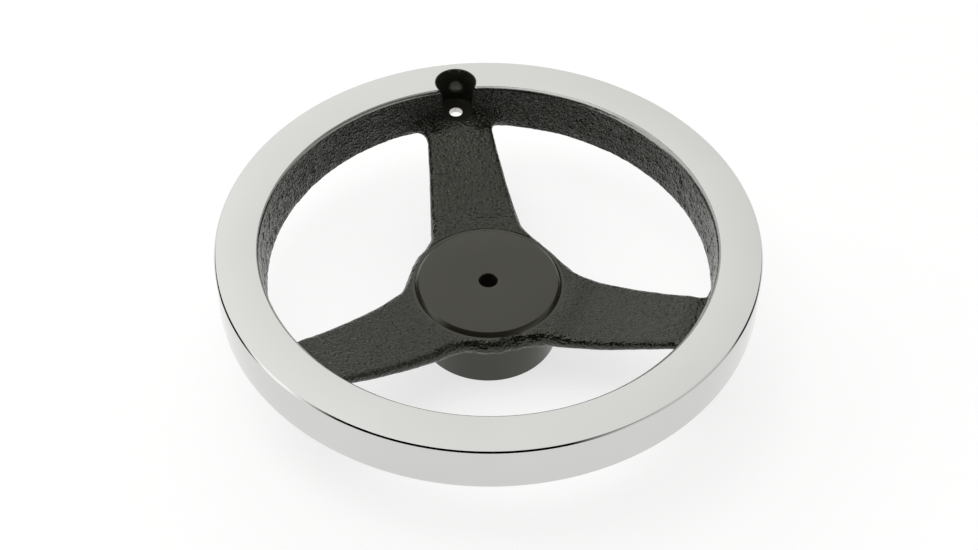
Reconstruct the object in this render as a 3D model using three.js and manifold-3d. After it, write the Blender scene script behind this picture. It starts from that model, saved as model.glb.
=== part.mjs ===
// Dished three-spoke handwheel, 250 mm across: a chromed rim on a rough-cast frame, with a turned hub and a
// milled seat for a screwed-on crank handle.
// Millimetres. +Z runs up the wheel's axis, the origin is the centre of the hub's underside, and the spoke
// that carries the handle seat points along +Y.

import * as THREE from 'three';
import { mergeVertices } from 'three/addons/utils/BufferGeometryUtils.js';
import Module from 'manifold-3d';

const wasm = await Module();
wasm.setup();

// Clearance left wherever two pieces meet.
const GAP = 0.3;

// Rim: the machined outer ring, with a thin lip that covers the cast inner rim.
const RIM_RADIUS = 125;
const RIM_TOP_Z = 63.1;
const RIM_BOTTOM_Z = 39.9;
const RIM_OUTER_DRAFT = 0.3;
const RIM_EDGE_BREAK = 0.8;
const LIP_RADIUS = 106;
const LIP_BEVEL = 1.5;

// Inner rim: the cast band that backs the outer ring and receives the spokes.
const BAND_OUTER_RADIUS = 108.5;
const BAND_TOP_RADIUS = 104.4;
const BAND_BOTTOM_RADIUS = 103.2;
const BAND_BOTTOM_Z = 39.4;
const BAND_EDGE_BREAK = 0.8;

// Hub: a turned core that stands proud of the cast eye on both sides. A bevelled collar tops it, above the
// eye's spot-faced shoulder.
const CORE_RADIUS = 32.8;
const CORE_HEIGHT = 33.6;
const CORE_EDGE_BREAK = 0.3;
const COLLAR_RADIUS = 34.65;
const COLLAR_EDGE_Z = 32.2;
const PILOT_BORE_RADIUS = 4.4;
const SHOULDER_RADIUS = 36.25;
const SHOULDER_Z = 31.8;

// Spokes: flat bars with full-round edges, tapering towards the rim and curving up to it.
const SPOKE_COUNT = 3;
const SPOKE_ROOT_RADIUS = 37.5;
const SPOKE_ROOT_Z = 27;
const SPOKE_ROOT_SLOPE = 0.148;
const SPOKE_CURVATURE = 0.0045;
const SPOKE_ROOT_HALF_WIDTH = 22.1;
const SPOKE_TAPER = 0.122;
const SPOKE_TAPER_EASE = 0.00028;
const SPOKE_ROOT_THICKNESS = 7.5;
const SPOKE_TIP_THICKNESS = 5.3;
const SPOKE_TIP_RADIUS = 97;
const SPOKE_TIP_TOP_Z = 45.6;
const SPOKE_TIP_BLEND = 1.5;
const RIM_FILLET_START = 95.5;
const RIM_FILLET_RADIUS = 7;
const EYE_FILLET_START = 36.4;
const EYE_FILLET_END = 30.3;
const EYE_FILLET_RADIUS = 8;

// The cast eye: thicker than the spokes by a pad on top, which fades out along them.
const EYE_BOTTOM_Z = 22.8;
const EYE_RADIUS = 38.7;
const PAD_THICKNESS = 1.9;
const PAD_RADIUS = 38;
const PAD_END_RADIUS = 50;

// The two radii where a spoke bar starts and ends.
const BAR_START_RADIUS = 43;
const BAR_END_RADIUS = 93;

// Handle seat: a round pocket sunk through the rim into the end of the +Y spoke, with a screw hole in it.
const SEAT_CENTRE_Y = 110.2;
const SEAT_POCKET_RADIUS = 10.2;
const SEAT_WALL = 1.2;
const SEAT_FLOOR_Z = 43.35;
const SEAT_HOLE_RADIUS = 3.36;

// Facet counts.
const RIM_SEGMENTS = 120;
const HUB_SEGMENTS = 72;
const SEAT_SEGMENTS = 48;
const HOLE_SEGMENTS = 32;
const EDGE_STEPS = 6;
const BAR_STEPS = 16;
const STUB_STEPS = 10;

const EYE_EDGE_RADIUS = (SPOKE_ROOT_THICKNESS + PAD_THICKNESS) / 2;
const SPOKE_TIP_MIDDLE_Z = SPOKE_TIP_TOP_Z - SPOKE_TIP_THICKNESS / 2;
const SPOKE_TIP_BOTTOM_Z = SPOKE_TIP_TOP_Z - SPOKE_TIP_THICKNESS;
const LIP_UNDERSIDE_Z = RIM_TOP_Z - LIP_BEVEL;
const BAND_TOP_Z = LIP_UNDERSIDE_Z - GAP;

// How far a cutter runs past the face that it cuts.
const OVERSHOOT = 5;

// ---------------------------------------------------------------- materials

function finish(color, roughness, metalness) {
  return new THREE.MeshStandardMaterial({ color, roughness, metalness });
}

const chrome = finish(0xd8d9d4, 0.12, 1);
const enamelledCasting = finish(0x34342f, 0.5, 0.3);
const turnedIron = finish(0x4f4d48, 0.35, 0.8);
const glossEnamel = finish(0x11110f, 0.12, 0);

// ---------------------------------------------------------------- solids

function toSolid(geometry) {
  const bare = geometry.clone();
  bare.deleteAttribute('normal');
  bare.deleteAttribute('uv');
  const merged = mergeVertices(bare);
  return new wasm.Manifold(new wasm.Mesh({
    numProp: 3,
    vertProperties: merged.attributes.position.array,
    triVerts: Uint32Array.from(merged.index.array),
  }));
}

function toMesh(solid, name, material) {
  const { vertProperties, triVerts } = solid.getMesh();
  const geometry = new THREE.BufferGeometry();
  geometry.setAttribute('position', new THREE.BufferAttribute(vertProperties, 3));
  geometry.setIndex(new THREE.BufferAttribute(triVerts, 1));
  geometry.computeVertexNormals();
  const mesh = new THREE.Mesh(geometry, material);
  mesh.name = name;
  return mesh;
}

// A ring turned about +Z from a closed outline of [radius, z] points, taken anticlockwise.
function turnedRing(outline, segments) {
  const points = [...outline, outline[0]].map(([radius, z]) => new THREE.Vector2(radius, z));
  const geometry = new THREE.LatheGeometry(points, segments);
  geometry.rotateX(Math.PI / 2);
  return toSolid(geometry);
}

// An upright cylinder between two heights, centred at a given y.
function cylinder(radius, lowZ, highZ, segments, centreY = 0) {
  const geometry = new THREE.CylinderGeometry(radius, radius, highZ - lowZ, segments);
  geometry.rotateX(Math.PI / 2);
  geometry.translate(0, centreY, (lowZ + highZ) / 2);
  return toSolid(geometry);
}

function spokeAngle(index) {
  return index * 360 / SPOKE_COUNT;
}

// ---------------------------------------------------------------- spoke shape

function smoothMinimum(a, b, blend) {
  const share = THREE.MathUtils.clamp(0.5 + 0.5 * (b - a) / blend, 0, 1);
  return THREE.MathUtils.lerp(b, a, share) - blend * share * (1 - share);
}

function padThickness(radius) {
  return PAD_THICKNESS * (1 - THREE.MathUtils.smoothstep(radius, PAD_RADIUS, PAD_END_RADIUS));
}

// Height of a spoke's mid-plane: an upward curve from the eye that levels off close to the rim's underside.
function spokeMiddleZ(radius) {
  const run = radius - SPOKE_ROOT_RADIUS;
  const rise = SPOKE_ROOT_Z + SPOKE_ROOT_SLOPE * run + 0.5 * SPOKE_CURVATURE * run * run;
  const bar = smoothMinimum(rise, SPOKE_TIP_MIDDLE_Z, SPOKE_TIP_BLEND);
  return Math.max(bar + padThickness(radius) / 2, EYE_BOTTOM_Z + EYE_EDGE_RADIUS);
}

function spokeThickness(radius) {
  const share = (radius - SPOKE_ROOT_RADIUS) / (SPOKE_TIP_RADIUS - SPOKE_ROOT_RADIUS);
  const along = THREE.MathUtils.clamp(share, 0, 1);
  return THREE.MathUtils.lerp(SPOKE_ROOT_THICKNESS, SPOKE_TIP_THICKNESS, along) + padThickness(radius);
}

// How far a fillet of the given radius has widened the bar after running for some distance past its start.
function filletGrowth(distance, filletRadius) {
  const run = THREE.MathUtils.clamp(distance, 0, filletRadius);
  return filletRadius - Math.sqrt(filletRadius * filletRadius - run * run);
}

function spokeHalfWidth(radius) {
  const run = radius - SPOKE_ROOT_RADIUS;
  const bar = SPOKE_ROOT_HALF_WIDTH - SPOKE_TAPER * run + SPOKE_TAPER_EASE * run * run;
  const atRim = filletGrowth(radius - RIM_FILLET_START, RIM_FILLET_RADIUS);
  const atEye = filletGrowth(EYE_FILLET_START - radius, EYE_FILLET_RADIUS);
  return bar + atRim + atEye;
}

// Outline of a spoke across its length, as [x, z] points: flat top and bottom, full-round edges.
function spokeSection(radius) {
  const edge = spokeThickness(radius) / 2;
  const flat = spokeHalfWidth(radius) - edge;
  const middle = spokeMiddleZ(radius);
  const points = [];
  for (const side of [1, -1]) {
    for (let step = 0; step <= EDGE_STEPS; step += 1) {
      const angle = side * (step / EDGE_STEPS - 0.5) * Math.PI;
      points.push([side * (flat + edge * Math.cos(angle)), middle + edge * Math.sin(angle)]);
    }
  }
  return points;
}

// A length of spoke along +Y, lofted through its sections and capped flat at both ends.
function spokeLength(startRadius, endRadius, steps) {
  const positions = [];
  const index = [];
  let count = 0;
  for (let station = 0; station <= steps; station += 1) {
    const radius = THREE.MathUtils.lerp(startRadius, endRadius, station / steps);
    const section = spokeSection(radius);
    count = section.length;
    for (const [x, z] of section) {
      positions.push(x, radius, z);
    }
  }
  for (let station = 0; station < steps; station += 1) {
    for (let i = 0; i < count; i += 1) {
      const near = station * count;
      const far = near + count;
      const next = (i + 1) % count;
      index.push(near + i, far + i, near + next);
      index.push(near + next, far + i, far + next);
    }
  }
  for (let i = 1; i < count - 1; i += 1) {
    const last = steps * count;
    index.push(0, i, i + 1);
    index.push(last, last + i + 1, last + i);
  }
  const geometry = new THREE.BufferGeometry();
  geometry.setAttribute('position', new THREE.Float32BufferAttribute(positions, 3));
  geometry.setIndex(index);
  return toSolid(geometry);
}

// ---------------------------------------------------------------- parts

function makeRim() {
  const ring = turnedRing([
    [LIP_RADIUS, RIM_TOP_Z],
    [LIP_RADIUS - LIP_BEVEL, LIP_UNDERSIDE_Z],
    [BAND_OUTER_RADIUS + GAP, LIP_UNDERSIDE_Z],
    [BAND_OUTER_RADIUS + GAP, RIM_BOTTOM_Z],
    [RIM_RADIUS + RIM_OUTER_DRAFT - RIM_EDGE_BREAK, RIM_BOTTOM_Z],
    [RIM_RADIUS + RIM_OUTER_DRAFT, RIM_BOTTOM_Z + RIM_EDGE_BREAK],
    [RIM_RADIUS, RIM_TOP_Z - RIM_EDGE_BREAK],
    [RIM_RADIUS - RIM_EDGE_BREAK, RIM_TOP_Z],
  ], RIM_SEGMENTS);
  const mouth = cylinder(
    SEAT_POCKET_RADIUS, BAND_TOP_Z, RIM_TOP_Z + OVERSHOOT, SEAT_SEGMENTS, SEAT_CENTRE_Y,
  );
  return ring.subtract(mouth).subtract(seatClearance());
}

// The space that the handle seat's cup takes out of the pieces around it.
function seatClearance() {
  const radius = SEAT_POCKET_RADIUS + SEAT_WALL + GAP;
  return cylinder(radius, BAND_BOTTOM_Z - OVERSHOOT, LIP_UNDERSIDE_Z, SEAT_SEGMENTS, SEAT_CENTRE_Y);
}

function makeInnerRim() {
  let band = turnedRing([
    [BAND_TOP_RADIUS, BAND_TOP_Z],
    [BAND_BOTTOM_RADIUS, BAND_BOTTOM_Z + BAND_EDGE_BREAK],
    [BAND_BOTTOM_RADIUS + BAND_EDGE_BREAK, BAND_BOTTOM_Z],
    [BAND_OUTER_RADIUS, BAND_BOTTOM_Z],
    [BAND_OUTER_RADIUS, BAND_TOP_Z],
  ], RIM_SEGMENTS);
  const insideBand = cylinder((BAND_TOP_RADIUS + BAND_OUTER_RADIUS) / 2, 0, BAND_TOP_Z, RIM_SEGMENTS);
  const landing = spokeLength(BAR_END_RADIUS + GAP, BAND_OUTER_RADIUS, STUB_STEPS).intersect(insideBand);
  for (let i = 0; i < SPOKE_COUNT; i += 1) {
    band = band.add(landing.rotate([0, 0, spokeAngle(i)]));
  }
  return band.subtract(seatClearance());
}

function makeSpoke(index) {
  return spokeLength(BAR_START_RADIUS + GAP, BAR_END_RADIUS, BAR_STEPS).rotate([0, 0, spokeAngle(index)]);
}

function makeHubEye() {
  const edge = [];
  for (let step = 0; step <= EDGE_STEPS; step += 1) {
    const angle = (step / EDGE_STEPS - 0.5) * Math.PI;
    const radius = EYE_RADIUS - EYE_EDGE_RADIUS + EYE_EDGE_RADIUS * Math.cos(angle);
    edge.push([radius, EYE_BOTTOM_Z + EYE_EDGE_RADIUS * (1 + Math.sin(angle))]);
  }
  const bore = CORE_RADIUS + GAP;
  let eye = turnedRing([
    [bore, EYE_BOTTOM_Z + 2 * EYE_EDGE_RADIUS],
    [bore, EYE_BOTTOM_Z],
    ...edge,
  ], HUB_SEGMENTS);
  const root = spokeLength(EYE_FILLET_END, BAR_START_RADIUS, STUB_STEPS);
  for (let i = 0; i < SPOKE_COUNT; i += 1) {
    eye = eye.add(root.rotate([0, 0, spokeAngle(i)]));
  }
  const spotFace = cylinder(SHOULDER_RADIUS, SHOULDER_Z, SHOULDER_Z + OVERSHOOT, HUB_SEGMENTS);
  return eye.subtract(cylinder(bore, 0, CORE_HEIGHT, HUB_SEGMENTS)).subtract(spotFace);
}

function makeHubCore() {
  return turnedRing([
    [PILOT_BORE_RADIUS, 0],
    [CORE_RADIUS - CORE_EDGE_BREAK, 0],
    [CORE_RADIUS, CORE_EDGE_BREAK],
    [CORE_RADIUS, SHOULDER_Z + GAP],
    [COLLAR_RADIUS, SHOULDER_Z + GAP],
    [COLLAR_RADIUS, COLLAR_EDGE_Z],
    [CORE_RADIUS, CORE_HEIGHT],
    [PILOT_BORE_RADIUS, CORE_HEIGHT],
  ], HUB_SEGMENTS);
}

// The pocket's floor and wall. Above the spoke the wall stops at the inner rim's face, so the pocket is open
// towards the hub.
function makeHandleSeat() {
  const outerRadius = SEAT_POCKET_RADIUS + SEAT_WALL;
  const block = cylinder(outerRadius, SPOKE_TIP_BOTTOM_Z, BAND_TOP_Z, SEAT_SEGMENTS, SEAT_CENTRE_Y);
  const pocket = cylinder(
    SEAT_POCKET_RADIUS, SEAT_FLOOR_Z, BAND_TOP_Z + OVERSHOOT, SEAT_SEGMENTS, SEAT_CENTRE_Y,
  );
  const hole = cylinder(
    SEAT_HOLE_RADIUS, BAND_BOTTOM_Z - OVERSHOOT, SEAT_FLOOR_Z + OVERSHOOT, HOLE_SEGMENTS, SEAT_CENTRE_Y,
  );
  const reach = RIM_RADIUS + OVERSHOOT;
  const withinRim = turnedRing([
    [BAND_TOP_RADIUS, BAND_TOP_Z + OVERSHOOT],
    [BAND_TOP_RADIUS, BAND_TOP_Z],
    [BAND_BOTTOM_RADIUS, BAND_BOTTOM_Z],
    [reach, BAND_BOTTOM_Z],
    [reach, BAND_TOP_Z + OVERSHOOT],
  ], RIM_SEGMENTS);
  const belowSpokeTop = cylinder(reach, 0, SPOKE_TIP_TOP_Z, RIM_SEGMENTS);
  return block.subtract(pocket).subtract(hole).intersect(withinRim.add(belowSpokeTop));
}

// ---------------------------------------------------------------- assembly

const handwheel = new THREE.Group();
handwheel.add(toMesh(makeRim(), 'rim', chrome));
handwheel.add(toMesh(makeInnerRim(), 'inner_rim', enamelledCasting));
for (let i = 0; i < SPOKE_COUNT; i += 1) {
  handwheel.add(toMesh(makeSpoke(i), `spoke_${i + 1}`, enamelledCasting));
}
handwheel.add(toMesh(makeHubEye(), 'hub_eye', enamelledCasting));
handwheel.add(toMesh(makeHubCore(), 'hub_core', turnedIron));
handwheel.add(toMesh(makeHandleSeat(), 'handle_seat', glossEnamel));

export default handwheel;
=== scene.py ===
"""A dished three-spoke handwheel: chromed rim, rough-cast spider under black enamel, turned hub, handle seat.

Lengths are in millimetres until a mesh is made, which scales them to metres. +Z runs up the wheel's axis, and
the spoke that carries the handle seat points along +Y.
"""

import math

import bmesh
import bpy
import numpy as np
from mathutils import Matrix, Vector


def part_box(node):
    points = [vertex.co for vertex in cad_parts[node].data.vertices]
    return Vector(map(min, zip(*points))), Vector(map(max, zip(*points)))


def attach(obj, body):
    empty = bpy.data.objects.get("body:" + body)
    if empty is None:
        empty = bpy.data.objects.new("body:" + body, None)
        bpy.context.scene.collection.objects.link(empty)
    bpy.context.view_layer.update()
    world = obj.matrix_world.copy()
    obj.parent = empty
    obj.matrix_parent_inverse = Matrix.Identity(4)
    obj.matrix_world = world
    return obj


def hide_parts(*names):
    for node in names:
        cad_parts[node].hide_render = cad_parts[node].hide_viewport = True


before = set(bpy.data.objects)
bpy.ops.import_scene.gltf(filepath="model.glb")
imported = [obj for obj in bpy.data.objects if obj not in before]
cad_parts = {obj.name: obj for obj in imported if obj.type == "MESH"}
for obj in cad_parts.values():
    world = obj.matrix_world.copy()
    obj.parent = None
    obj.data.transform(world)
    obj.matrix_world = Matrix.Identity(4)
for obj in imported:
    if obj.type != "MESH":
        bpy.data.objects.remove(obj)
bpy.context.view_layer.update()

MM = 0.001


def node_box(node):
    """Lowest and highest corner of a CAD node, in millimetres."""
    low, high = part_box(node)
    return low / MM, high / MM


# ---------------------------------------------------------------- sizes from the frame

RIM_LOW, RIM_HIGH = node_box("rim")
CORE_HIGH = node_box("hub_core")[1]
SEAT_LOW, SEAT_HIGH = node_box("handle_seat")

RIM_RADIUS = RIM_HIGH.x
RIM_TOP = RIM_HIGH.z
RIM_BOTTOM = RIM_LOW.z
BAND_BOTTOM = node_box("inner_rim")[0].z
COLLAR_RADIUS = CORE_HIGH.x
CORE_TOP = CORE_HIGH.z
SEAT_Y = (SEAT_LOW.y + SEAT_HIGH.y) / 2
SEAT_BOTTOM = SEAT_LOW.z

# ---------------------------------------------------------------- rim and inner rim

RIM_DRAFT = 0.3
RIM_CHAMFER = 0.7
RIM_FOOT_ROUND = 0.9
RIM_FOOT_BEVEL = 0.3
LIP_RADIUS = 106.0
LIP_STEP = 0.14
EDGE_SOFTNESS = 0.12
BAND_OUTER = 108.8
BAND_TOP_RADIUS = 104.6
BAND_BOTTOM_RADIUS = 103.1
BAND_ROUND = 0.8
BAND_LOBES = 0.45
BAND_LOBE_PHASE = math.radians(28)
LANDING_FILLET = 1.8
CAST_OFF_CENTRE_AT_TOP = 0.35

# ---------------------------------------------------------------- spokes and eye

SPOKES = 3
FIRST_SPOKE = math.pi / 2
ROOT = 37.5
ROOT_MIDDLE = 27.0
ROOT_SLOPE = 0.148
CURVATURE = 0.0045
ROOT_HALF_WIDTH = 21.9
TAPER = 0.122
TAPER_EASE = 0.00028
ROOT_THICKNESS = 7.5
TIP = 97.0
TIP_THICKNESS = 5.3
TIP_TOP = 45.6
TIP_BLEND = 1.5
SPOKE_EXTRA_WIDTH = (0.45, -0.15, 0.4)
SHOULDER_RADIUS = 36.25
SHOULDER_TOP = 31.8
EYE_BOTTOM = 22.8
PAD_THICKNESS = 1.9
PAD_RADIUS = 38.0
PAD_END_RADIUS = 50.0
EYE_HALF_THICKNESS = (ROOT_THICKNESS + PAD_THICKNESS) / 2

# Fillets in the three windows, anticlockwise from the handle's spoke: the sand mould drew them unequal.
EYE_RADII = (38.6, 39.3, 38.0)
EYE_FILLETS = (4.5, 4.0, 8.0)

# Fillets where each spoke meets the rim, on its anticlockwise and clockwise sides.
RIM_FILLETS = ((12.0, 9.0), (5.0, 5.0), (6.5, 6.5))

# Hollows the sand left in the casting: x, y, z, reach, depth.
BLEMISHES = (
    (11.9, 98.1, 45.6, 2.6, 1.8),
    (-12.3, 98.2, 45.6, 2.6, 1.8),
    (6.5, -39.5, 31.5, 6.0, 2.2),
    (3.2, 37.2, 32.2, 13.0, 0.5),
)

# ---------------------------------------------------------------- handle seat and hub

POCKET_RADIUS = 10.2
POCKET_SKIN = 0.25
POCKET_FLOOR = 43.35
POCKET_CORNER = 0.5
POCKET_CHAMFER = 0.2
POCKET_WAIST = 0.22
WAIST_DEPTH = 6.0
WAIST_END = 14.0
SEAT_EDGE_DROP = 0.1
SEAT_SKIN_DROP = 0.2
SEAT_SOFTNESS = 0.08
SEAT_SHIFT = 0.27
SCREW_HOLE_RADIUS = 3.36
PILOT_RADIUS = 4.4
PILOT_CHAMFER = 0.2
CORE_RADIUS = 32.8
CORE_FOOT_RADIUS = 33.4
CORE_CHAMFER = 0.12
CORE_FLARE_DROP = 0.5
COLLAR_DEPTH = 0.6
HUB_SOFTNESS = 0.06

# ---------------------------------------------------------------- machining allowances

# Metal left on the casting where it is machined afterwards.
STOCK = 1.0

RIM_STEP_DEPTH = 6.0
BAND_STEP_DEPTH = 5.0
BAND_OVERLAP = 0.3
LIP_OVERLAP = 0.01
JOINT_GAP = 0.05
SAME_FACE = 0.01
BORE_FACE = 0.02

# How far each cutting tool runs past the metal.
CLEARANCE = 5.0
POCKET_OVERRUN = 0.4
SPOT_FACE_CLEARANCE = 9.0
LIP_CLEARANCE = 12.0
LIP_OVERRUN = 2.0
TURNING_CLEARANCE = 6.0
TURNING_REACH = 9.0
KEEP_CLEARANCE = 2.0

# ---------------------------------------------------------------- cast relief

# Grain size, height everywhere, and extra height on the inner rim's wall.
WALL_GRAINS = ((2.6, 0.05, 0.28), (1.5, 0.05, 0.26))
SWELL = (9.0, 0.18)
EYE_GRAIN = (4.0, 0.5)
WALL_START = 97.0
WALL_FADE = 5.0
LIP_SMOOTH = 2.0
FOOT_SMOOTH = 1.0
FOOT_SHARE = 0.3
EDGE_FADE = 2.5
EYE_END = 45.0
EYE_FADE = 5.0
EYE_DROP = 0.5
EYE_DROP_FADE = 2.0

# ---------------------------------------------------------------- mesh densities

RIM_SEGMENTS = 320
HUB_SEGMENTS = 192
POCKET_SEGMENTS = 128
CELL = 1.0
GRID_MARGIN = 3.0
GRID_MARGIN_BELOW = 2.0
PROJECTIONS = 3
GRADIENT_STEP = 0.05
LEAST_SLOPE = 0.2
FAR = 1000.0
SHARP_ANGLE = math.radians(35)
CAST_SHARP_ANGLE = math.radians(50)


# ---------------------------------------------------------------- distance fields

def round_union(a, b, radius):
    """Distance to two shapes joined with a concave fillet."""
    near_a = np.maximum(radius - a, 0)
    near_b = np.maximum(radius - b, 0)
    return np.maximum(radius, np.minimum(a, b)) - np.hypot(near_a, near_b)


def round_intersection(a, b, radius):
    """Distance to the overlap of two shapes, with a convex round."""
    near_a = np.maximum(radius + a, 0)
    near_b = np.maximum(radius + b, 0)
    return np.minimum(-radius, np.maximum(a, b)) + np.hypot(near_a, near_b)


def smooth_minimum(a, b, blend):
    share = np.clip(0.5 + 0.5 * (b - a) / blend, 0, 1)
    return b + (a - b) * share - blend * share * (1 - share)


def pad_thickness(run):
    """What the eye's pad adds to the top of a spoke's root."""
    share = np.clip((run - PAD_RADIUS) / (PAD_END_RADIUS - PAD_RADIUS), 0, 1)
    return PAD_THICKNESS * (1 - share * share * (3 - 2 * share))


def spoke_middle(run):
    """Height of a spoke's mid-plane at a distance from the axis."""
    past_root = np.maximum(run - ROOT, -ROOT_SLOPE / CURVATURE)
    rise = ROOT_MIDDLE + ROOT_SLOPE * past_root + 0.5 * CURVATURE * past_root ** 2
    bar = smooth_minimum(rise, TIP_TOP - TIP_THICKNESS / 2, TIP_BLEND)
    return np.maximum(bar + pad_thickness(run) / 2, EYE_BOTTOM + EYE_HALF_THICKNESS)


def spoke_half_thickness(run):
    share = np.clip((run - ROOT) / (TIP - ROOT), 0, 1)
    return (ROOT_THICKNESS + (TIP_THICKNESS - ROOT_THICKNESS) * share + pad_thickness(run)) / 2


def spoke_half_width(run):
    past_root = run - ROOT
    return ROOT_HALF_WIDTH - TAPER * past_root + TAPER_EASE * past_root ** 2


def window_values(x, y, values):
    """For each point, the value that belongs to the window it lies in."""
    turn = np.mod(np.arctan2(y, x) - FIRST_SPOKE, 2 * math.pi)
    return np.choose((turn * SPOKES / (2 * math.pi)).astype(int) % SPOKES, values)


def casting_distance(points):
    """Signed distance to the one casting that the inner rim, spokes and eye are regions of."""
    x, y, z = points[..., 0], points[..., 1], points[..., 2]
    radius = np.hypot(x, y)
    plan = np.full(x.shape, FAR)
    run = np.full(x.shape, -FAR)
    for i in range(SPOKES):
        angle = FIRST_SPOKE + i * 2 * math.pi / SPOKES
        along = x * math.cos(angle) + y * math.sin(angle)
        across = y * math.cos(angle) - x * math.sin(angle)
        edge = np.maximum(np.abs(across) - spoke_half_width(along) - SPOKE_EXTRA_WIDTH[i], -along)
        fillet = np.where(across > 0, *RIM_FILLETS[i])
        flared = round_union(edge, BAND_BOTTOM_RADIUS - radius, fillet)
        plan = np.minimum(plan, np.maximum(flared, edge - fillet))
        run = np.maximum(run, along)
    eye = radius - window_values(x, y, EYE_RADII)
    plan = round_union(plan, eye, window_values(x, y, EYE_FILLETS))
    half = spoke_half_thickness(run)
    plate = np.hypot(np.maximum(plan + half, 0), z - spoke_middle(run)) - half

    lean = (BAND_TOP_RADIUS - BAND_BOTTOM_RADIUS) / (RIM_TOP - BAND_BOTTOM)
    up = (z - BAND_BOTTOM) / (RIM_TOP - BAND_BOTTOM)
    turn = np.arctan2(y, x)
    lobes = BAND_LOBES * (1 - up) * np.cos(SPOKES * turn + BAND_LOBE_PHASE)
    off_centre = CAST_OFF_CENTRE_AT_TOP * up * np.cos(turn)
    face = BAND_BOTTOM_RADIUS + lean * (z - BAND_BOTTOM) + lobes - off_centre - radius
    band = round_intersection(face, BAND_BOTTOM - z, BAND_ROUND)
    band = np.maximum(band, z - RIM_TOP - STOCK)
    return np.maximum(round_union(plate, band, LANDING_FILLET), radius - BAND_OUTER - STOCK)


def gradient(field, points):
    """The field's slope along each axis."""
    columns = []
    for axis in range(3):
        offset = np.zeros(3)
        offset[axis] = GRADIENT_STEP
        columns.append((field(points + offset) - field(points - offset)) / (2 * GRADIENT_STEP))
    return np.stack(columns, -1)


def surface_net(field, low, high, cell):
    """A quad mesh on the field's zero surface: one vertex for each grid cell that the surface crosses."""
    axes = [np.arange(a, b + cell, cell) for a, b in zip(low, high)]
    values = field(np.stack(np.meshgrid(*axes, indexing="ij"), -1))
    inside = values < 0
    cells = tuple(n - 1 for n in values.shape)
    corner = {}
    for dx in (0, 1):
        for dy in (0, 1):
            for dz in (0, 1):
                corner[dx, dy, dz] = np.s_[dx:dx + cells[0], dy:dy + cells[1], dz:dz + cells[2]]
    total = sum(inside[s].astype(np.int8) for s in corner.values())
    crossed = np.argwhere((total > 0) & (total < len(corner)))
    number = np.full(cells, -1)
    number[tuple(crossed.T)] = np.arange(len(crossed))

    place = np.zeros((len(crossed), 3))
    hits = np.zeros(len(crossed))
    for start in corner:
        for axis in range(3):
            if start[axis]:
                continue
            end = tuple(1 if k == axis else start[k] for k in range(3))
            a = values[tuple((crossed + start).T)]
            b = values[tuple((crossed + end).T)]
            cut = (a < 0) != (b < 0)
            share = np.where(cut, a / np.where(cut, a - b, 1), 0)
            point = np.array(start) + share[:, None] * (np.array(end) - np.array(start))
            place += np.where(cut[:, None], point, 0)
            hits += cut
    vertices = np.array(low) + (crossed + place / hits[:, None]) * cell

    quads = []
    for axis in range(3):
        one, two = (axis + 1) % 3, (axis + 2) % 3
        head = np.take(inside, range(values.shape[axis] - 1), axis)
        tail = np.take(inside, range(1, values.shape[axis]), axis)
        edges = np.argwhere(head != tail)
        edges = edges[(edges[:, one] > 0) & (edges[:, two] > 0)]
        edges = edges[(edges[:, one] < cells[one]) & (edges[:, two] < cells[two])]
        steps = np.zeros((4, 3), int)
        steps[[1, 2], one] = -1
        steps[[2, 3], two] = -1
        ring = np.stack([number[tuple((edges + s).T)] for s in steps], -1)
        outward = head[tuple(edges.T)]
        quads.append(np.where(outward[:, None], ring[:, ::-1], ring))
    return vertices, np.concatenate(quads)


def subdivided(vertices, quads):
    """Each quad split in four."""
    count = len(vertices)
    edges = np.sort(np.stack([quads, np.roll(quads, -1, 1)], -1).reshape(-1, 2), 1)
    keys, which = np.unique(edges[:, 0] * count + edges[:, 1], return_inverse=True)
    middles = (vertices[keys // count] + vertices[keys % count]) / 2
    centres = vertices[quads].mean(1)
    middle = count + which.reshape(-1, 4)
    centre = count + len(keys) + np.arange(len(quads))
    parts = [np.stack([quads[:, k], middle[:, k], centre, middle[:, k - 1]], -1) for k in range(4)]
    return np.concatenate([vertices, middles, centres]), np.concatenate(parts)


# ---------------------------------------------------------------- noise

SEED = 11
LATTICE = 64
LATTICE_SHIFT = 1000.0
RANDOM = np.random.default_rng(SEED).random((LATTICE, LATTICE, LATTICE)) * 2 - 1


def noise(points, size):
    """Smooth noise between -1 and 1, with grains of about the given size."""
    scaled = points / size + LATTICE_SHIFT
    whole = np.floor(scaled).astype(int)
    part = scaled - whole
    part = part * part * (3 - 2 * part)
    total = np.zeros(len(points))
    for dx in (0, 1):
        for dy in (0, 1):
            for dz in (0, 1):
                weight = np.ones(len(points))
                for axis, step in enumerate((dx, dy, dz)):
                    weight *= part[:, axis] if step else 1 - part[:, axis]
                index = [(whole[:, axis] + step) % LATTICE for axis, step in enumerate((dx, dy, dz))]
                total += weight * RANDOM[tuple(index)]
    return total


# ---------------------------------------------------------------- meshes

def object_from(name, vertices, faces, material=None):
    """An object from an array of points in millimetres and a list of faces."""
    mesh = bpy.data.meshes.new(name)
    mesh.from_pydata((vertices * MM).tolist(), [], faces)
    mesh.update()
    if material is not None:
        mesh.materials.append(material)
    piece = bpy.data.objects.new(name, mesh)
    bpy.context.scene.collection.objects.link(piece)
    return piece


def shade(piece, sharp_angle=SHARP_ANGLE):
    piece.data.shade_smooth()
    piece.data.set_sharp_from_angle(angle=sharp_angle)


def paint_hole(piece, radius, centre=(0.0, 0.0)):
    """Gives the faces round a vertical hole the piece's second material, and the others its first."""
    for face in piece.data.polygons:
        out = math.hypot(face.center.x - centre[0] * MM, face.center.y - centre[1] * MM)
        face.material_index = 1 if out < radius * MM else 0


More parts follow.
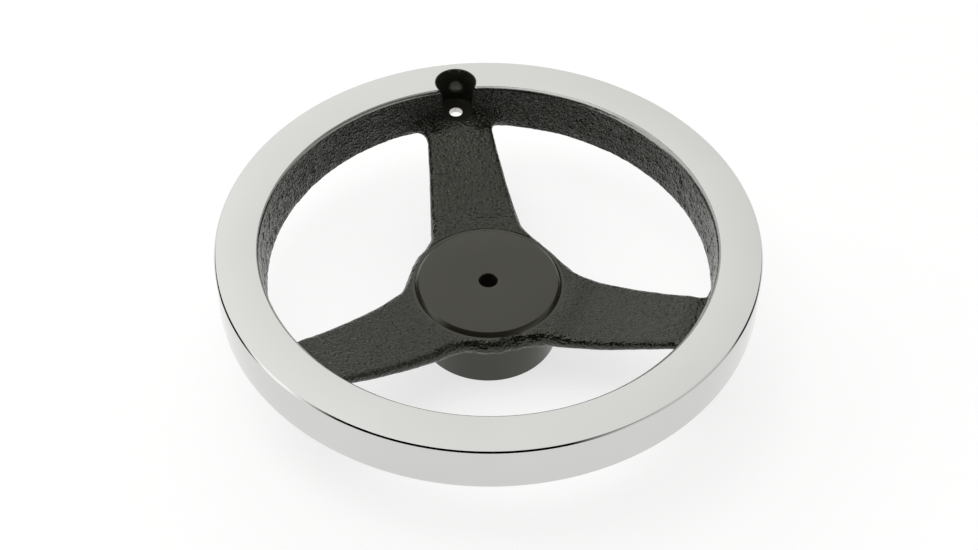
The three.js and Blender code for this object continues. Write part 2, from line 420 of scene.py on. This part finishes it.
def softened(outline, radius, steps=3):
    """The closed outline with each corner turned into a short arc."""
    result = []
    count = len(outline)
    for i in range(count):
        corner = Vector(outline[i])
        back = Vector(outline[i - 1]) - corner
        ahead = Vector(outline[(i + 1) % count]) - corner
        half_turn = back.angle(ahead) / 2
        reach = min(radius / math.tan(half_turn), back.length / 3, ahead.length / 3)
        start = corner + back.normalized() * reach
        end = corner + ahead.normalized() * reach
        for k in range(steps + 1):
            t = k / steps
            point = start * (1 - t) ** 2 + corner * 2 * t * (1 - t) + end * t ** 2
            result.append((point.x, point.y))
    return result


def turned(name, outline, segments, centre=(0.0, 0.0), material=None):
    """A ring turned about a vertical axis from a closed outline of (radius, z) points."""
    profile = np.array(outline)
    count = len(profile)
    angles = np.arange(segments) * 2 * math.pi / segments
    x = np.outer(np.cos(angles), profile[:, 0]) + centre[0]
    y = np.outer(np.sin(angles), profile[:, 0]) + centre[1]
    z = np.tile(profile[:, 1], (segments, 1))
    vertices = np.stack([x, y, z], -1).reshape(-1, 3)
    i, j = np.meshgrid(np.arange(segments), np.arange(count), indexing="ij")
    i, j = i.ravel(), j.ravel()
    here, up = i * count + j, i * count + (j + 1) % count
    across = (i + 1) % segments * count
    faces = np.stack([here, across + j, across + (j + 1) % count, up], -1)
    piece = object_from(name, vertices, faces.tolist(), material)
    orient(piece)
    return piece


def orient(piece):
    """Turns every face outwards."""
    work = bmesh.new()
    work.from_mesh(piece.data)
    bmesh.ops.recalc_face_normals(work, faces=work.faces)
    work.to_mesh(piece.data)
    work.free()


def frustum(name, levels, segments, centre=(0.0, 0.0), material=None):
    """A closed solid of revolution on a vertical axis, from (radius, z) levels given bottom to top."""
    angles = np.arange(segments) * 2 * math.pi / segments
    circle = np.stack([np.cos(angles), np.sin(angles)], -1)
    rows = [np.column_stack([r * circle + centre, np.full(segments, z)]) for r, z in levels]
    faces = [list(range(segments))[::-1]]
    for level in range(len(levels) - 1):
        for k in range(segments):
            a, b = level * segments + k, level * segments + (k + 1) % segments
            faces.append([a, b, b + segments, a + segments])
    faces.append([(len(levels) - 1) * segments + k for k in range(segments)])
    return object_from(name, np.concatenate(rows), faces, material)


def combine(piece, other, operation):
    """Cuts piece with other, or keeps what they share, and deletes other."""
    modifier = piece.modifiers.new("combine", "BOOLEAN")
    modifier.operation = operation
    modifier.object = other
    modifier.solver = "EXACT"
    modifier.material_mode = "TRANSFER"
    bpy.context.view_layer.update()
    result = bpy.data.meshes.new_from_object(piece.evaluated_get(bpy.context.evaluated_depsgraph_get()))
    piece.modifiers.clear()
    piece.data = result
    bpy.data.objects.remove(other)


# ---------------------------------------------------------------- materials

# Colours are linear. A grain is (grains per metre, detail, roughness), and bump heights are in metres.
WARM_GLOSS = (1.0, 1.0, 0.88, 1)
CAST_IOR = 1.5
ENAMEL_IOR = 1.55

CHROME_TONES = ((0.60, 0.60, 0.585), (0.65, 0.65, 0.64))
CHROME_TONE_GRAIN = (18, 2)
CHROME_HAZE_GRAIN = (160, 4)
CHROME_ROUGHNESS = (0.07, 0.13)
CHROME_RINGS = 420
CHROME_RING_HEIGHT = 0.000002
CHROME_WAVE_GRAIN = (60, 1)
CHROME_WAVE_HEIGHT = 0.00003

CAST_TONES = ((0.003, 0.003, 0.002), (0.008, 0.008, 0.005))
CAST_TONE_GRAIN = (400, 3)
CAST_WEAR_GRAIN = (600, 4)
CAST_ROUGHNESS = (0.10, 0.20)
CAST_SHEEN = 0.22
CAST_SHEEN_ROUGHNESS = 0.35
SAND_GRAIN = (800, 0.6, 0.4)
SAND_HEIGHT = 0.0026
SAND_STRENGTH = 0.24
PIT_GRAIN = (600, 0.5)
PIT_DEPTHS = (0.3, 0.45)
PIT_HEIGHT = 0.0002

# Where the sand's extra strength begins and ends: out from the axis, and along +Y towards the handle seat.
WALL_REACH = (0.095, 0.103)
SEAT_REACH = (0.03, 0.09)
EXTRA_STRENGTH = (0.06, 0.76)

TURNED_TONES = ((0.018, 0.017, 0.012), (0.024, 0.022, 0.017))
TURNED_TONE_GRAIN = (40, 3)
TURNED_HAZE_GRAIN = (90, 3)
TURNED_ROUGHNESS = (0.16, 0.24)
TURNED_RINGS = 500
TURNED_RING_HEIGHT = 0.000004

LIP_TONES = ((0.24, 0.24, 0.225), (0.38, 0.38, 0.365))
LIP_GRAIN = (500, 3)
LIP_ROUGHNESS = (0.20, 0.30)
LIP_RINGS = 900
LIP_RING_HEIGHT = 0.000006

GLOSS_COLOUR = (0.028, 0.027, 0.021, 1)
GLOSS_HAZE_GRAIN = (300, 3)
GLOSS_ROUGHNESS = (0.08, 0.15)
PEEL_GRAIN = (900, 2)
PEEL_HEIGHT = 0.00001

STEEL_TONES = ((0.5, 0.49, 0.46), (0.75, 0.74, 0.7))
STEEL_ROUGHNESS = (0.3, 0.45)
IRON_TONES = ((0.018, 0.011, 0.009), (0.045, 0.026, 0.022))
IRON_METALLIC = 0.3
IRON_ROUGHNESS = (0.45, 0.6)
BARE_GRAIN = (700, 4)
BARE_HEIGHT = 0.00002

# Where nearly all of a noise texture's values lie.
NOISE_SPAN = (0.3, 0.7)
GRAIN_ROUGHNESS = 0.55
RING_DISTORTION = 0.6
RING_DETAIL = 2.0


def new_material(name):
    material = bpy.data.materials.new(name)
    material.use_nodes = True
    nodes = material.node_tree.nodes
    return material, nodes, material.node_tree.links, nodes["Principled BSDF"]


def object_place(nodes):
    return nodes.new("ShaderNodeTexCoord").outputs["Object"]


def grain_node(nodes, links, scale, detail, roughness=GRAIN_ROUGHNESS):
    """A noise texture in object space, as a value from 0 to 1."""
    texture = nodes.new("ShaderNodeTexNoise")
    texture.inputs["Scale"].default_value = scale
    texture.inputs["Detail"].default_value = detail
    texture.inputs["Roughness"].default_value = roughness
    links.new(object_place(nodes), texture.inputs["Vector"])
    return texture.outputs["Fac"]


def ranged(nodes, links, source, to, start=NOISE_SPAN):
    """The source's range start, mapped to the range to."""
    node = nodes.new("ShaderNodeMapRange")
    node.inputs["From Min"].default_value = start[0]
    node.inputs["From Max"].default_value = start[1]
    node.inputs["To Min"].default_value = to[0]
    node.inputs["To Max"].default_value = to[1]
    links.new(source, node.inputs["Value"])
    return node.outputs["Result"]


def product(nodes, links, a, b):
    node = nodes.new("ShaderNodeMath")
    node.operation = "MULTIPLY"
    links.new(a, node.inputs[0])
    links.new(b, node.inputs[1])
    return node.outputs["Value"]


def vector_length(nodes, links, source):
    node = nodes.new("ShaderNodeVectorMath")
    node.operation = "LENGTH"
    links.new(source, node.inputs[0])
    return node.outputs["Value"]


def vector_node(nodes, links, operation, source, value):
    node = nodes.new("ShaderNodeVectorMath")
    node.operation = operation
    node.inputs[1].default_value = value
    links.new(source, node.inputs[0])
    return node.outputs["Value" if operation == "DOT_PRODUCT" else "Vector"]


def bump_node(nodes, links, height, distance, after=None):
    bump = nodes.new("ShaderNodeBump")
    bump.inputs["Distance"].default_value = distance
    bump.inputs["Strength"].default_value = 1.0
    links.new(height, bump.inputs["Height"])
    if after is not None:
        links.new(after, bump.inputs["Normal"])
    return bump


def add_bump(nodes, links, height, distance, after=None):
    return bump_node(nodes, links, height, distance, after).outputs["Normal"]


def mottle(nodes, links, shader, source, tones):
    """Gives the shader a colour that drifts between two tones."""
    dark, light = tones
    mix = nodes.new("ShaderNodeMix")
    mix.data_type = "RGBA"
    mix.inputs["A"].default_value = (*dark, 1)
    mix.inputs["B"].default_value = (*light, 1)
    links.new(source, mix.inputs["Factor"])
    links.new(mix.outputs["Result"], shader.inputs["Base Color"])


def rings(nodes, links, per_metre):
    """Turning marks: fine rings about the wheel's axis, as a height between 0 and 1."""
    wave = nodes.new("ShaderNodeTexWave")
    wave.wave_type = "RINGS"
    wave.rings_direction = "Z"
    wave.inputs["Scale"].default_value = per_metre
    wave.inputs["Distortion"].default_value = RING_DISTORTION
    wave.inputs["Detail"].default_value = RING_DETAIL
    links.new(object_place(nodes), wave.inputs["Vector"])
    return wave.outputs["Fac"]


def radial(nodes, links, reach):
    """A value that runs from 0 to 1 between two distances from the wheel's axis, in metres."""
    flat = vector_node(nodes, links, "MULTIPLY", object_place(nodes), (1, 1, 0))
    return ranged(nodes, links, vector_length(nodes, links, flat), (0, 1), reach)


def sand_strength(nodes, links):
    """How strongly the sand shows: weak on the spokes, strong on the wall beside the handle seat."""
    axes = nodes.new("ShaderNodeSeparateXYZ")
    links.new(object_place(nodes), axes.inputs["Vector"])
    coarser = ranged(nodes, links, axes.outputs["Y"], EXTRA_STRENGTH, SEAT_REACH)
    extra = product(nodes, links, radial(nodes, links, WALL_REACH), coarser)
    return ranged(nodes, links, extra, (SAND_STRENGTH, SAND_STRENGTH + 1), (0, 1))


def chrome_material():
    material, nodes, links, shader = new_material("chrome_plate")
    shader.inputs["Metallic"].default_value = 1.0
    mottle(nodes, links, shader, grain_node(nodes, links, *CHROME_TONE_GRAIN), CHROME_TONES)
    haze = grain_node(nodes, links, *CHROME_HAZE_GRAIN)
    links.new(ranged(nodes, links, haze, CHROME_ROUGHNESS), shader.inputs["Roughness"])
    marks = add_bump(nodes, links, rings(nodes, links, CHROME_RINGS), CHROME_RING_HEIGHT)
    wave = grain_node(nodes, links, *CHROME_WAVE_GRAIN)
    links.new(add_bump(nodes, links, wave, CHROME_WAVE_HEIGHT, marks), shader.inputs["Normal"])
    return material


def cast_enamel_material():
    """Semi-gloss black enamel over sand-cast iron, coarsest on the inner rim beside the handle seat."""
    material, nodes, links, shader = new_material("cast_enamel")
    shader.inputs["Sheen Weight"].default_value = CAST_SHEEN
    shader.inputs["Sheen Roughness"].default_value = CAST_SHEEN_ROUGHNESS
    shader.inputs["IOR"].default_value = CAST_IOR
    shader.inputs["Specular Tint"].default_value = WARM_GLOSS
    mottle(nodes, links, shader, grain_node(nodes, links, *CAST_TONE_GRAIN), CAST_TONES)
    worn = grain_node(nodes, links, *CAST_WEAR_GRAIN)
    links.new(ranged(nodes, links, worn, CAST_ROUGHNESS), shader.inputs["Roughness"])
    rough = bump_node(nodes, links, grain_node(nodes, links, *SAND_GRAIN), SAND_HEIGHT)
    links.new(sand_strength(nodes, links), rough.inputs["Strength"])
    pitted = ranged(nodes, links, grain_node(nodes, links, *PIT_GRAIN), (0, 1), PIT_DEPTHS)
    normal = add_bump(nodes, links, pitted, PIT_HEIGHT, rough.outputs["Normal"])
    links.new(normal, shader.inputs["Normal"])
    return material


def turned_enamel_material():
    material, nodes, links, shader = new_material("turned_enamel")
    shader.inputs["IOR"].default_value = ENAMEL_IOR
    shader.inputs["Specular Tint"].default_value = WARM_GLOSS
    mottle(nodes, links, shader, grain_node(nodes, links, *TURNED_TONE_GRAIN), TURNED_TONES)
    haze = grain_node(nodes, links, *TURNED_HAZE_GRAIN)
    links.new(ranged(nodes, links, haze, TURNED_ROUGHNESS), shader.inputs["Roughness"])
    marks = add_bump(nodes, links, rings(nodes, links, TURNED_RINGS), TURNED_RING_HEIGHT)
    links.new(marks, shader.inputs["Normal"])
    return material


def lip_material():
    """The turned bevel of the rim's inner edge, plated but not polished."""
    material, nodes, links, shader = new_material("turned_lip")
    shader.inputs["Metallic"].default_value = 1.0
    tone = grain_node(nodes, links, *LIP_GRAIN)
    mottle(nodes, links, shader, tone, LIP_TONES)
    links.new(ranged(nodes, links, tone, LIP_ROUGHNESS), shader.inputs["Roughness"])
    marks = add_bump(nodes, links, rings(nodes, links, LIP_RINGS), LIP_RING_HEIGHT)
    links.new(marks, shader.inputs["Normal"])
    return material


def gloss_material():
    material, nodes, links, shader = new_material("gloss_enamel")
    shader.inputs["Base Color"].default_value = GLOSS_COLOUR
    shader.inputs["IOR"].default_value = ENAMEL_IOR
    shader.inputs["Specular Tint"].default_value = WARM_GLOSS
    haze = grain_node(nodes, links, *GLOSS_HAZE_GRAIN)
    links.new(ranged(nodes, links, haze, GLOSS_ROUGHNESS), shader.inputs["Roughness"])
    peel = add_bump(nodes, links, grain_node(nodes, links, *PEEL_GRAIN), PEEL_HEIGHT)
    links.new(peel, shader.inputs["Normal"])
    return material


def bare_material(name, tones, metallic, roughness):
    """Unpainted metal left by a drill."""
    material, nodes, links, shader = new_material(name)
    shader.inputs["Metallic"].default_value = metallic
    tone = grain_node(nodes, links, *BARE_GRAIN)
    mottle(nodes, links, shader, tone, tones)
    links.new(ranged(nodes, links, tone, roughness), shader.inputs["Roughness"])
    links.new(add_bump(nodes, links, tone, BARE_HEIGHT), shader.inputs["Normal"])
    return material


# ---------------------------------------------------------------- pieces

def pocket_tool(material):
    """The cutter of the handle's pocket, with a chamfer at its mouth."""
    mouth = [
        (POCKET_RADIUS, BAND_BOTTOM - CLEARANCE),
        (POCKET_RADIUS, RIM_TOP - POCKET_CHAMFER),
        (POCKET_RADIUS + POCKET_CHAMFER + POCKET_OVERRUN, RIM_TOP + POCKET_OVERRUN),
    ]
    return frustum("pocket_tool", mouth, POCKET_SEGMENTS, (SEAT_SHIFT, SEAT_Y), material)


def make_rim(chrome, gloss):
    foot = RIM_FOOT_ROUND
    bevel = RIM_FOOT_BEVEL * foot
    outline = softened([
        (LIP_RADIUS, RIM_TOP),
        (LIP_RADIUS, RIM_TOP - RIM_STEP_DEPTH),
        (BAND_OUTER, RIM_TOP - RIM_STEP_DEPTH),
        (BAND_OUTER, RIM_BOTTOM),
        (RIM_RADIUS - foot, RIM_BOTTOM),
        (RIM_RADIUS - bevel, RIM_BOTTOM + bevel),
        (RIM_RADIUS, RIM_BOTTOM + foot),
        (RIM_RADIUS - RIM_DRAFT, RIM_TOP - RIM_CHAMFER),
        (RIM_RADIUS - RIM_DRAFT - RIM_CHAMFER, RIM_TOP),
    ], EDGE_SOFTNESS)
    rim = turned("rim_ring", outline, RIM_SEGMENTS)
    rim.data.materials.append(chrome)
    rim.data.materials.append(gloss)
    paint_hole(rim, LIP_RADIUS + SAME_FACE)
    combine(rim, pocket_tool(gloss), "DIFFERENCE")
    shade(rim)
    return rim


def fade(distance, run):
    """Runs from 0 to 1 as the distance goes from 0 to run."""
    return np.clip(distance / run, 0, 1)


def cast_relief(points):
    """Height of the sand's roughness: coarse on the inner rim's wall and under the eye, gone at the lip."""
    radius = np.hypot(points[:, 0], points[:, 1])
    z = points[:, 2]
    below_eye = fade(EYE_END - radius, EYE_FADE) * fade(SHOULDER_TOP - EYE_DROP - z, EYE_DROP_FADE)
    below_lip = fade(RIM_TOP - LIP_SMOOTH - z, EDGE_FADE)
    above_foot = FOOT_SHARE + (1 - FOOT_SHARE) * fade(z - BAND_BOTTOM - FOOT_SMOOTH, EDGE_FADE)
    on_wall = fade(radius - WALL_START, WALL_FADE) * below_lip * above_foot
    relief = noise(points, SWELL[0]) * SWELL[1] * below_lip
    relief += noise(points, EYE_GRAIN[0]) * EYE_GRAIN[1] * below_eye
    for size, height, wall_height in WALL_GRAINS:
        relief += noise(points, size) * (height + wall_height * on_wall)
    for *centre, reach, depth in BLEMISHES:
        relief -= depth * np.exp(-((points - centre) ** 2).sum(1) / reach ** 2)
    return relief


def cast_blank():
    """Points and quads of the casting as it leaves the sand, with its roughness."""
    reach = BAND_OUTER + GRID_MARGIN
    low = (-reach, -reach, EYE_BOTTOM - GRID_MARGIN_BELOW)
    high = (reach, reach, RIM_TOP + GRID_MARGIN)
    points, quads = subdivided(*surface_net(casting_distance, low, high, CELL))
    for _ in range(PROJECTIONS):
        slope = gradient(casting_distance, points)
        size = np.maximum((slope ** 2).sum(1), LEAST_SLOPE)
        points = points - (casting_distance(points) / size)[:, None] * slope
    slope = gradient(casting_distance, points)
    normal = slope / np.linalg.norm(slope, axis=1)[:, None]
    return points + normal * cast_relief(points)[:, None], quads


def spot_face_tool(material):
    """The cutter that faces the eye round the hub and bores it for the barrel and the collar."""
    collar_bottom = SHOULDER_TOP - COLLAR_DEPTH
    levels = [
        (CORE_RADIUS, 0),
        (CORE_RADIUS, collar_bottom),
        (COLLAR_RADIUS, collar_bottom),
        (COLLAR_RADIUS, SHOULDER_TOP),
        (SHOULDER_RADIUS, SHOULDER_TOP),
        (SHOULDER_RADIUS, SHOULDER_TOP + SPOT_FACE_CLEARANCE),
    ]
    return frustum("spot_face_tool", levels, HUB_SEGMENTS, material=material)


def lip_tool(material):
    """The cutter of the bevel inside the rim's top face."""
    ring = LIP_RADIUS - LIP_OVERLAP
    start = RIM_TOP - LIP_STEP
    outline = [
        (ring - LIP_CLEARANCE, start - LIP_CLEARANCE),
        (ring, start),
        (ring + LIP_OVERRUN, start),
        (ring + LIP_OVERRUN, RIM_TOP + CLEARANCE),
        (ring - LIP_CLEARANCE, RIM_TOP + CLEARANCE),
    ]
    return turned("lip_tool", outline, RIM_SEGMENTS, material=material)


def turning_tool(material):
    """The cutter that turns the casting's outside to fit the rim."""
    joint = LIP_RADIUS + JOINT_GAP
    inner = BAND_OUTER + BAND_OVERLAP
    outer = BAND_OUTER + TURNING_REACH
    top = RIM_TOP + TURNING_CLEARANCE
    bottom = BAND_BOTTOM - CLEARANCE
    step = RIM_TOP - BAND_STEP_DEPTH
    outline = [(joint, top), (joint, step), (inner, step), (inner, bottom), (outer, bottom), (outer, top)]
    return turned("turning_tool", outline, RIM_SEGMENTS, material=material)


def make_casting(enamel, turned_face, lip, gloss):
    points, quads = cast_blank()
    casting = object_from("spider_casting", points, quads.tolist(), enamel)
    combine(casting, spot_face_tool(turned_face), "DIFFERENCE")
    combine(casting, lip_tool(lip), "DIFFERENCE")
    combine(casting, turning_tool(enamel), "DIFFERENCE")
    combine(casting, pocket_tool(gloss), "DIFFERENCE")
    shade(casting, CAST_SHARP_ANGLE)
    return casting


def make_hub(enamel, bore):
    outline = softened([
        (PILOT_RADIUS, 0),
        (CORE_FOOT_RADIUS - CORE_CHAMFER, 0),
        (CORE_FOOT_RADIUS, CORE_CHAMFER),
        (CORE_RADIUS, EYE_BOTTOM - CORE_FLARE_DROP),
        (CORE_RADIUS, SHOULDER_TOP - COLLAR_DEPTH),
        (COLLAR_RADIUS, SHOULDER_TOP - COLLAR_DEPTH),
        (COLLAR_RADIUS, SHOULDER_TOP),
        (CORE_RADIUS, CORE_TOP),
        (PILOT_RADIUS + PILOT_CHAMFER, CORE_TOP),
        (PILOT_RADIUS, CORE_TOP - PILOT_CHAMFER),
    ], HUB_SOFTNESS)
    hub = turned("turned_hub", outline, HUB_SEGMENTS)
    hub.data.materials.append(enamel)
    hub.data.materials.append(bore)
    paint_hole(hub, PILOT_RADIUS + BORE_FACE)
    shade(hub)
    return hub


def seat_bounds():
    """The part of the rim and spoke that the seat may fill, so that it shows nowhere but in the pocket."""
    outline = [
        (BAND_BOTTOM_RADIUS, TIP_TOP),
        (BAND_TOP_RADIUS, RIM_TOP - LIP_RADIUS + BAND_TOP_RADIUS),
        (LIP_RADIUS, RIM_TOP),
        (LIP_RADIUS, RIM_TOP + KEEP_CLEARANCE),
        (RIM_RADIUS, RIM_TOP + KEEP_CLEARANCE),
        (RIM_RADIUS, SEAT_BOTTOM - KEEP_CLEARANCE),
        (TIP, SEAT_BOTTOM - KEEP_CLEARANCE),
        (TIP, TIP_TOP),
    ]
    return turned("seat_bounds", outline, RIM_SEGMENTS)


def make_seat(gloss, bare):
    inner = POCKET_RADIUS - POCKET_SKIN
    centre = (SEAT_SHIFT, SEAT_Y)
    outline = softened([
        (SCREW_HOLE_RADIUS, SEAT_BOTTOM),
        (POCKET_RADIUS, SEAT_BOTTOM),
        (POCKET_RADIUS, RIM_TOP - SEAT_EDGE_DROP),
        (inner, RIM_TOP - SEAT_SKIN_DROP),
        (inner - POCKET_WAIST, RIM_TOP - WAIST_DEPTH),
        (inner, RIM_TOP - WAIST_END),
        (inner, POCKET_FLOOR + POCKET_CORNER),
        (inner - POCKET_CORNER, POCKET_FLOOR),
        (SCREW_HOLE_RADIUS, POCKET_FLOOR),
    ], SEAT_SOFTNESS)
    seat = turned("handle_seat_cup", outline, POCKET_SEGMENTS, centre)
    combine(seat, seat_bounds(), "INTERSECT")
    seat.data.materials.clear()
    seat.data.materials.append(gloss)
    seat.data.materials.append(bare)
    paint_hole(seat, SCREW_HOLE_RADIUS + SAME_FACE, centre)
    shade(seat)
    return seat


# ---------------------------------------------------------------- stage

CAMERA_AZIMUTH = math.radians(-9.26)
CAMERA_ELEVATION = math.radians(45.02)
CAMERA_DISTANCE = 788.2
CAMERA_PAN = 0.0004
CAMERA_TILT = 0.0227
CAMERA_ROLL = -0.0112
LENS = 63.34
SENSOR = 36.0
CLIP_START = 0.01

FLOOR_REACH = 4.0
FLOOR_COLOUR = (0.36, 0.36, 0.36, 1)
FLOOR_ROUGHNESS = 0.9
FLOOR_SPECULAR = 0.1
FLOOR_GLOW = 0.72
WHITE = (1, 1, 1, 1)

DOME_COLOUR = (1, 1, 0.985, 1)
DOME_BRIGHTNESS = 1.12
DOME_LEAN = -0.35
BACKDROP_BRIGHTNESS = 1.0

# Dark gaps in the tent: azimuth from +X, height of the middle, half-width and half-height as parts of one,
# and the share of the light that is left in them.
DARK_GAPS = (
    (math.radians(-112.3), 0.50, 0.79, 0.55, 0.0),
    (math.radians(144.7), 0.10, 0.52, 0.26, 0.0),
    (math.radians(24.7), 0.19, 0.44, 0.19, 0.0),
    (math.radians(-29.0), 0.74, 0.50, 0.22, 0.3),
)
DEPTH_SHARE = 0.8
EDGE_WIDTH = 0.16

SOFTBOX_PLACE = (-0.3, -0.1, 1.1)
SOFTBOX_TARGET = (0, 0, 0.05)
SOFTBOX_SIZE = 0.6
SOFTBOX_ENERGY = 1.5


def view_direction(azimuth, elevation):
    """Unit vector from the wheel towards a camera at that azimuth and elevation."""
    flat = math.cos(elevation)
    return Vector((math.sin(azimuth) * flat, -math.cos(azimuth) * flat, math.sin(elevation)))


def make_camera():
    back = view_direction(CAMERA_AZIMUTH, CAMERA_ELEVATION)
    right = Vector((0, 0, 1)).cross(back).normalized()
    up = back.cross(right)
    turn = Matrix((right, up, back)).transposed()
    turn = turn @ Matrix.Rotation(-CAMERA_PAN, 3, "Y") @ Matrix.Rotation(-CAMERA_TILT, 3, "X")
    turn = turn @ Matrix.Rotation(-CAMERA_ROLL, 3, "Z")
    data = bpy.data.cameras.new("camera")
    data.lens = LENS
    data.sensor_width = SENSOR
    data.clip_start = CLIP_START
    camera = bpy.data.objects.new("camera", data)
    place = (Vector((0, 0, RIM_TOP)) + back * CAMERA_DISTANCE) * MM
    camera.matrix_world = Matrix.Translation(place) @ turn.to_4x4()
    bpy.context.scene.collection.objects.link(camera)
    bpy.context.scene.camera = camera


def make_floor():
    mesh = bpy.data.meshes.new("floor")
    corners = [(-1, -1), (1, -1), (1, 1), (-1, 1)]
    mesh.from_pydata([(x * FLOOR_REACH, y * FLOOR_REACH, 0) for x, y in corners], [], [(0, 1, 2, 3)])
    floor = bpy.data.objects.new("floor", mesh)
    bpy.context.scene.collection.objects.link(floor)
    material, nodes, links, shader = new_material("pale_floor")
    shader.inputs["Base Color"].default_value = FLOOR_COLOUR
    shader.inputs["Roughness"].default_value = FLOOR_ROUGHNESS
    shader.inputs["Specular IOR Level"].default_value = FLOOR_SPECULAR
    shader.inputs["Emission Color"].default_value = WHITE
    shader.inputs["Emission Strength"].default_value = FLOOR_GLOW
    mesh.materials.append(material)


def outside_gap(nodes, links, direction, azimuth, height, half_width, half_height, left):
    """The share of light left inside a dark gap of the tent, and 1 outside it."""
    turn = nodes.new("ShaderNodeVectorRotate")
    turn.rotation_type = "Z_AXIS"
    turn.inputs["Angle"].default_value = -azimuth
    links.new(direction, turn.inputs["Vector"])
    offset = vector_node(nodes, links, "SUBTRACT", turn.outputs["Vector"], (1, 0, height))
    share = (DEPTH_SHARE, 1 / half_width, 1 / half_height)
    scaled = vector_node(nodes, links, "MULTIPLY", offset, share)
    edge = (1 - EDGE_WIDTH, 1 + EDGE_WIDTH)
    return ranged(nodes, links, vector_length(nodes, links, scaled), (left, 1), edge)


def make_dome():
    """A white light tent, a little brighter on the left, with dark gaps where the room shows."""
    world = bpy.data.worlds.new("tent")
    bpy.context.scene.world = world
    world.use_nodes = True
    nodes, links = world.node_tree.nodes, world.node_tree.links
    nodes.clear()
    direction = nodes.new("ShaderNodeTexCoord").outputs["Generated"]
    lean = vector_node(nodes, links, "DOT_PRODUCT", direction, (DOME_LEAN, 0, 0))
    light = ranged(nodes, links, lean, (0, 2 * DOME_BRIGHTNESS), (-1, 1))
    for gap in DARK_GAPS:
        light = product(nodes, links, light, outside_gap(nodes, links, direction, *gap))
    tent = nodes.new("ShaderNodeBackground")
    tent.inputs["Color"].default_value = DOME_COLOUR
    links.new(light, tent.inputs["Strength"])
    backdrop = nodes.new("ShaderNodeBackground")
    backdrop.inputs["Strength"].default_value = BACKDROP_BRIGHTNESS
    backdrop.inputs["Color"].default_value = WHITE
    path = nodes.new("ShaderNodeLightPath")
    choice = nodes.new("ShaderNodeMixShader")
    links.new(path.outputs["Is Camera Ray"], choice.inputs[0])
    links.new(tent.outputs["Background"], choice.inputs[1])
    links.new(backdrop.outputs["Background"], choice.inputs[2])
    output = nodes.new("ShaderNodeOutputWorld")
    links.new(choice.outputs["Shader"], output.inputs["Surface"])


def make_softbox():
    """A wide, weak light overhead."""
    data = bpy.data.lights.new("softbox", "AREA")
    data.size = SOFTBOX_SIZE
    data.energy = SOFTBOX_ENERGY
    box = bpy.data.objects.new("softbox", data)
    place = Vector(SOFTBOX_PLACE)
    box.location = place
    box.rotation_euler = (Vector(SOFTBOX_TARGET) - place).to_track_quat("-Z", "Y").to_euler()
    box.visible_camera = False
    bpy.context.scene.collection.objects.link(box)


# ---------------------------------------------------------------- scene

make_camera()
make_floor()
make_dome()
make_softbox()
bpy.context.scene.view_settings.view_transform = "Standard"

chrome = chrome_material()
cast_enamel = cast_enamel_material()
turned_lip = lip_material()
turned_enamel = turned_enamel_material()
gloss_enamel = gloss_material()
bright_steel = bare_material("drilled_steel", STEEL_TONES, 1.0, STEEL_ROUGHNESS)
dark_iron = bare_material("bored_iron", IRON_TONES, IRON_METALLIC, IRON_ROUGHNESS)

rim = make_rim(chrome, gloss_enamel)
casting = make_casting(cast_enamel, turned_enamel, turned_lip, gloss_enamel)
hub = make_hub(turned_enamel, dark_iron)
seat = make_seat(gloss_enamel, bright_steel)

STANDS_FOR = (
    (rim, ("rim",), "chromed_rim"),
    (casting, ("inner_rim", "spoke_1", "spoke_2", "spoke_3", "hub_eye"), "enamelled_casting"),
    (hub, ("hub_core",), "turned_hub"),
    (seat, ("handle_seat",), "gloss_seat"),
)
for piece, replaced, slot in STANDS_FOR:
    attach(piece, "root")
    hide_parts(*replaced)
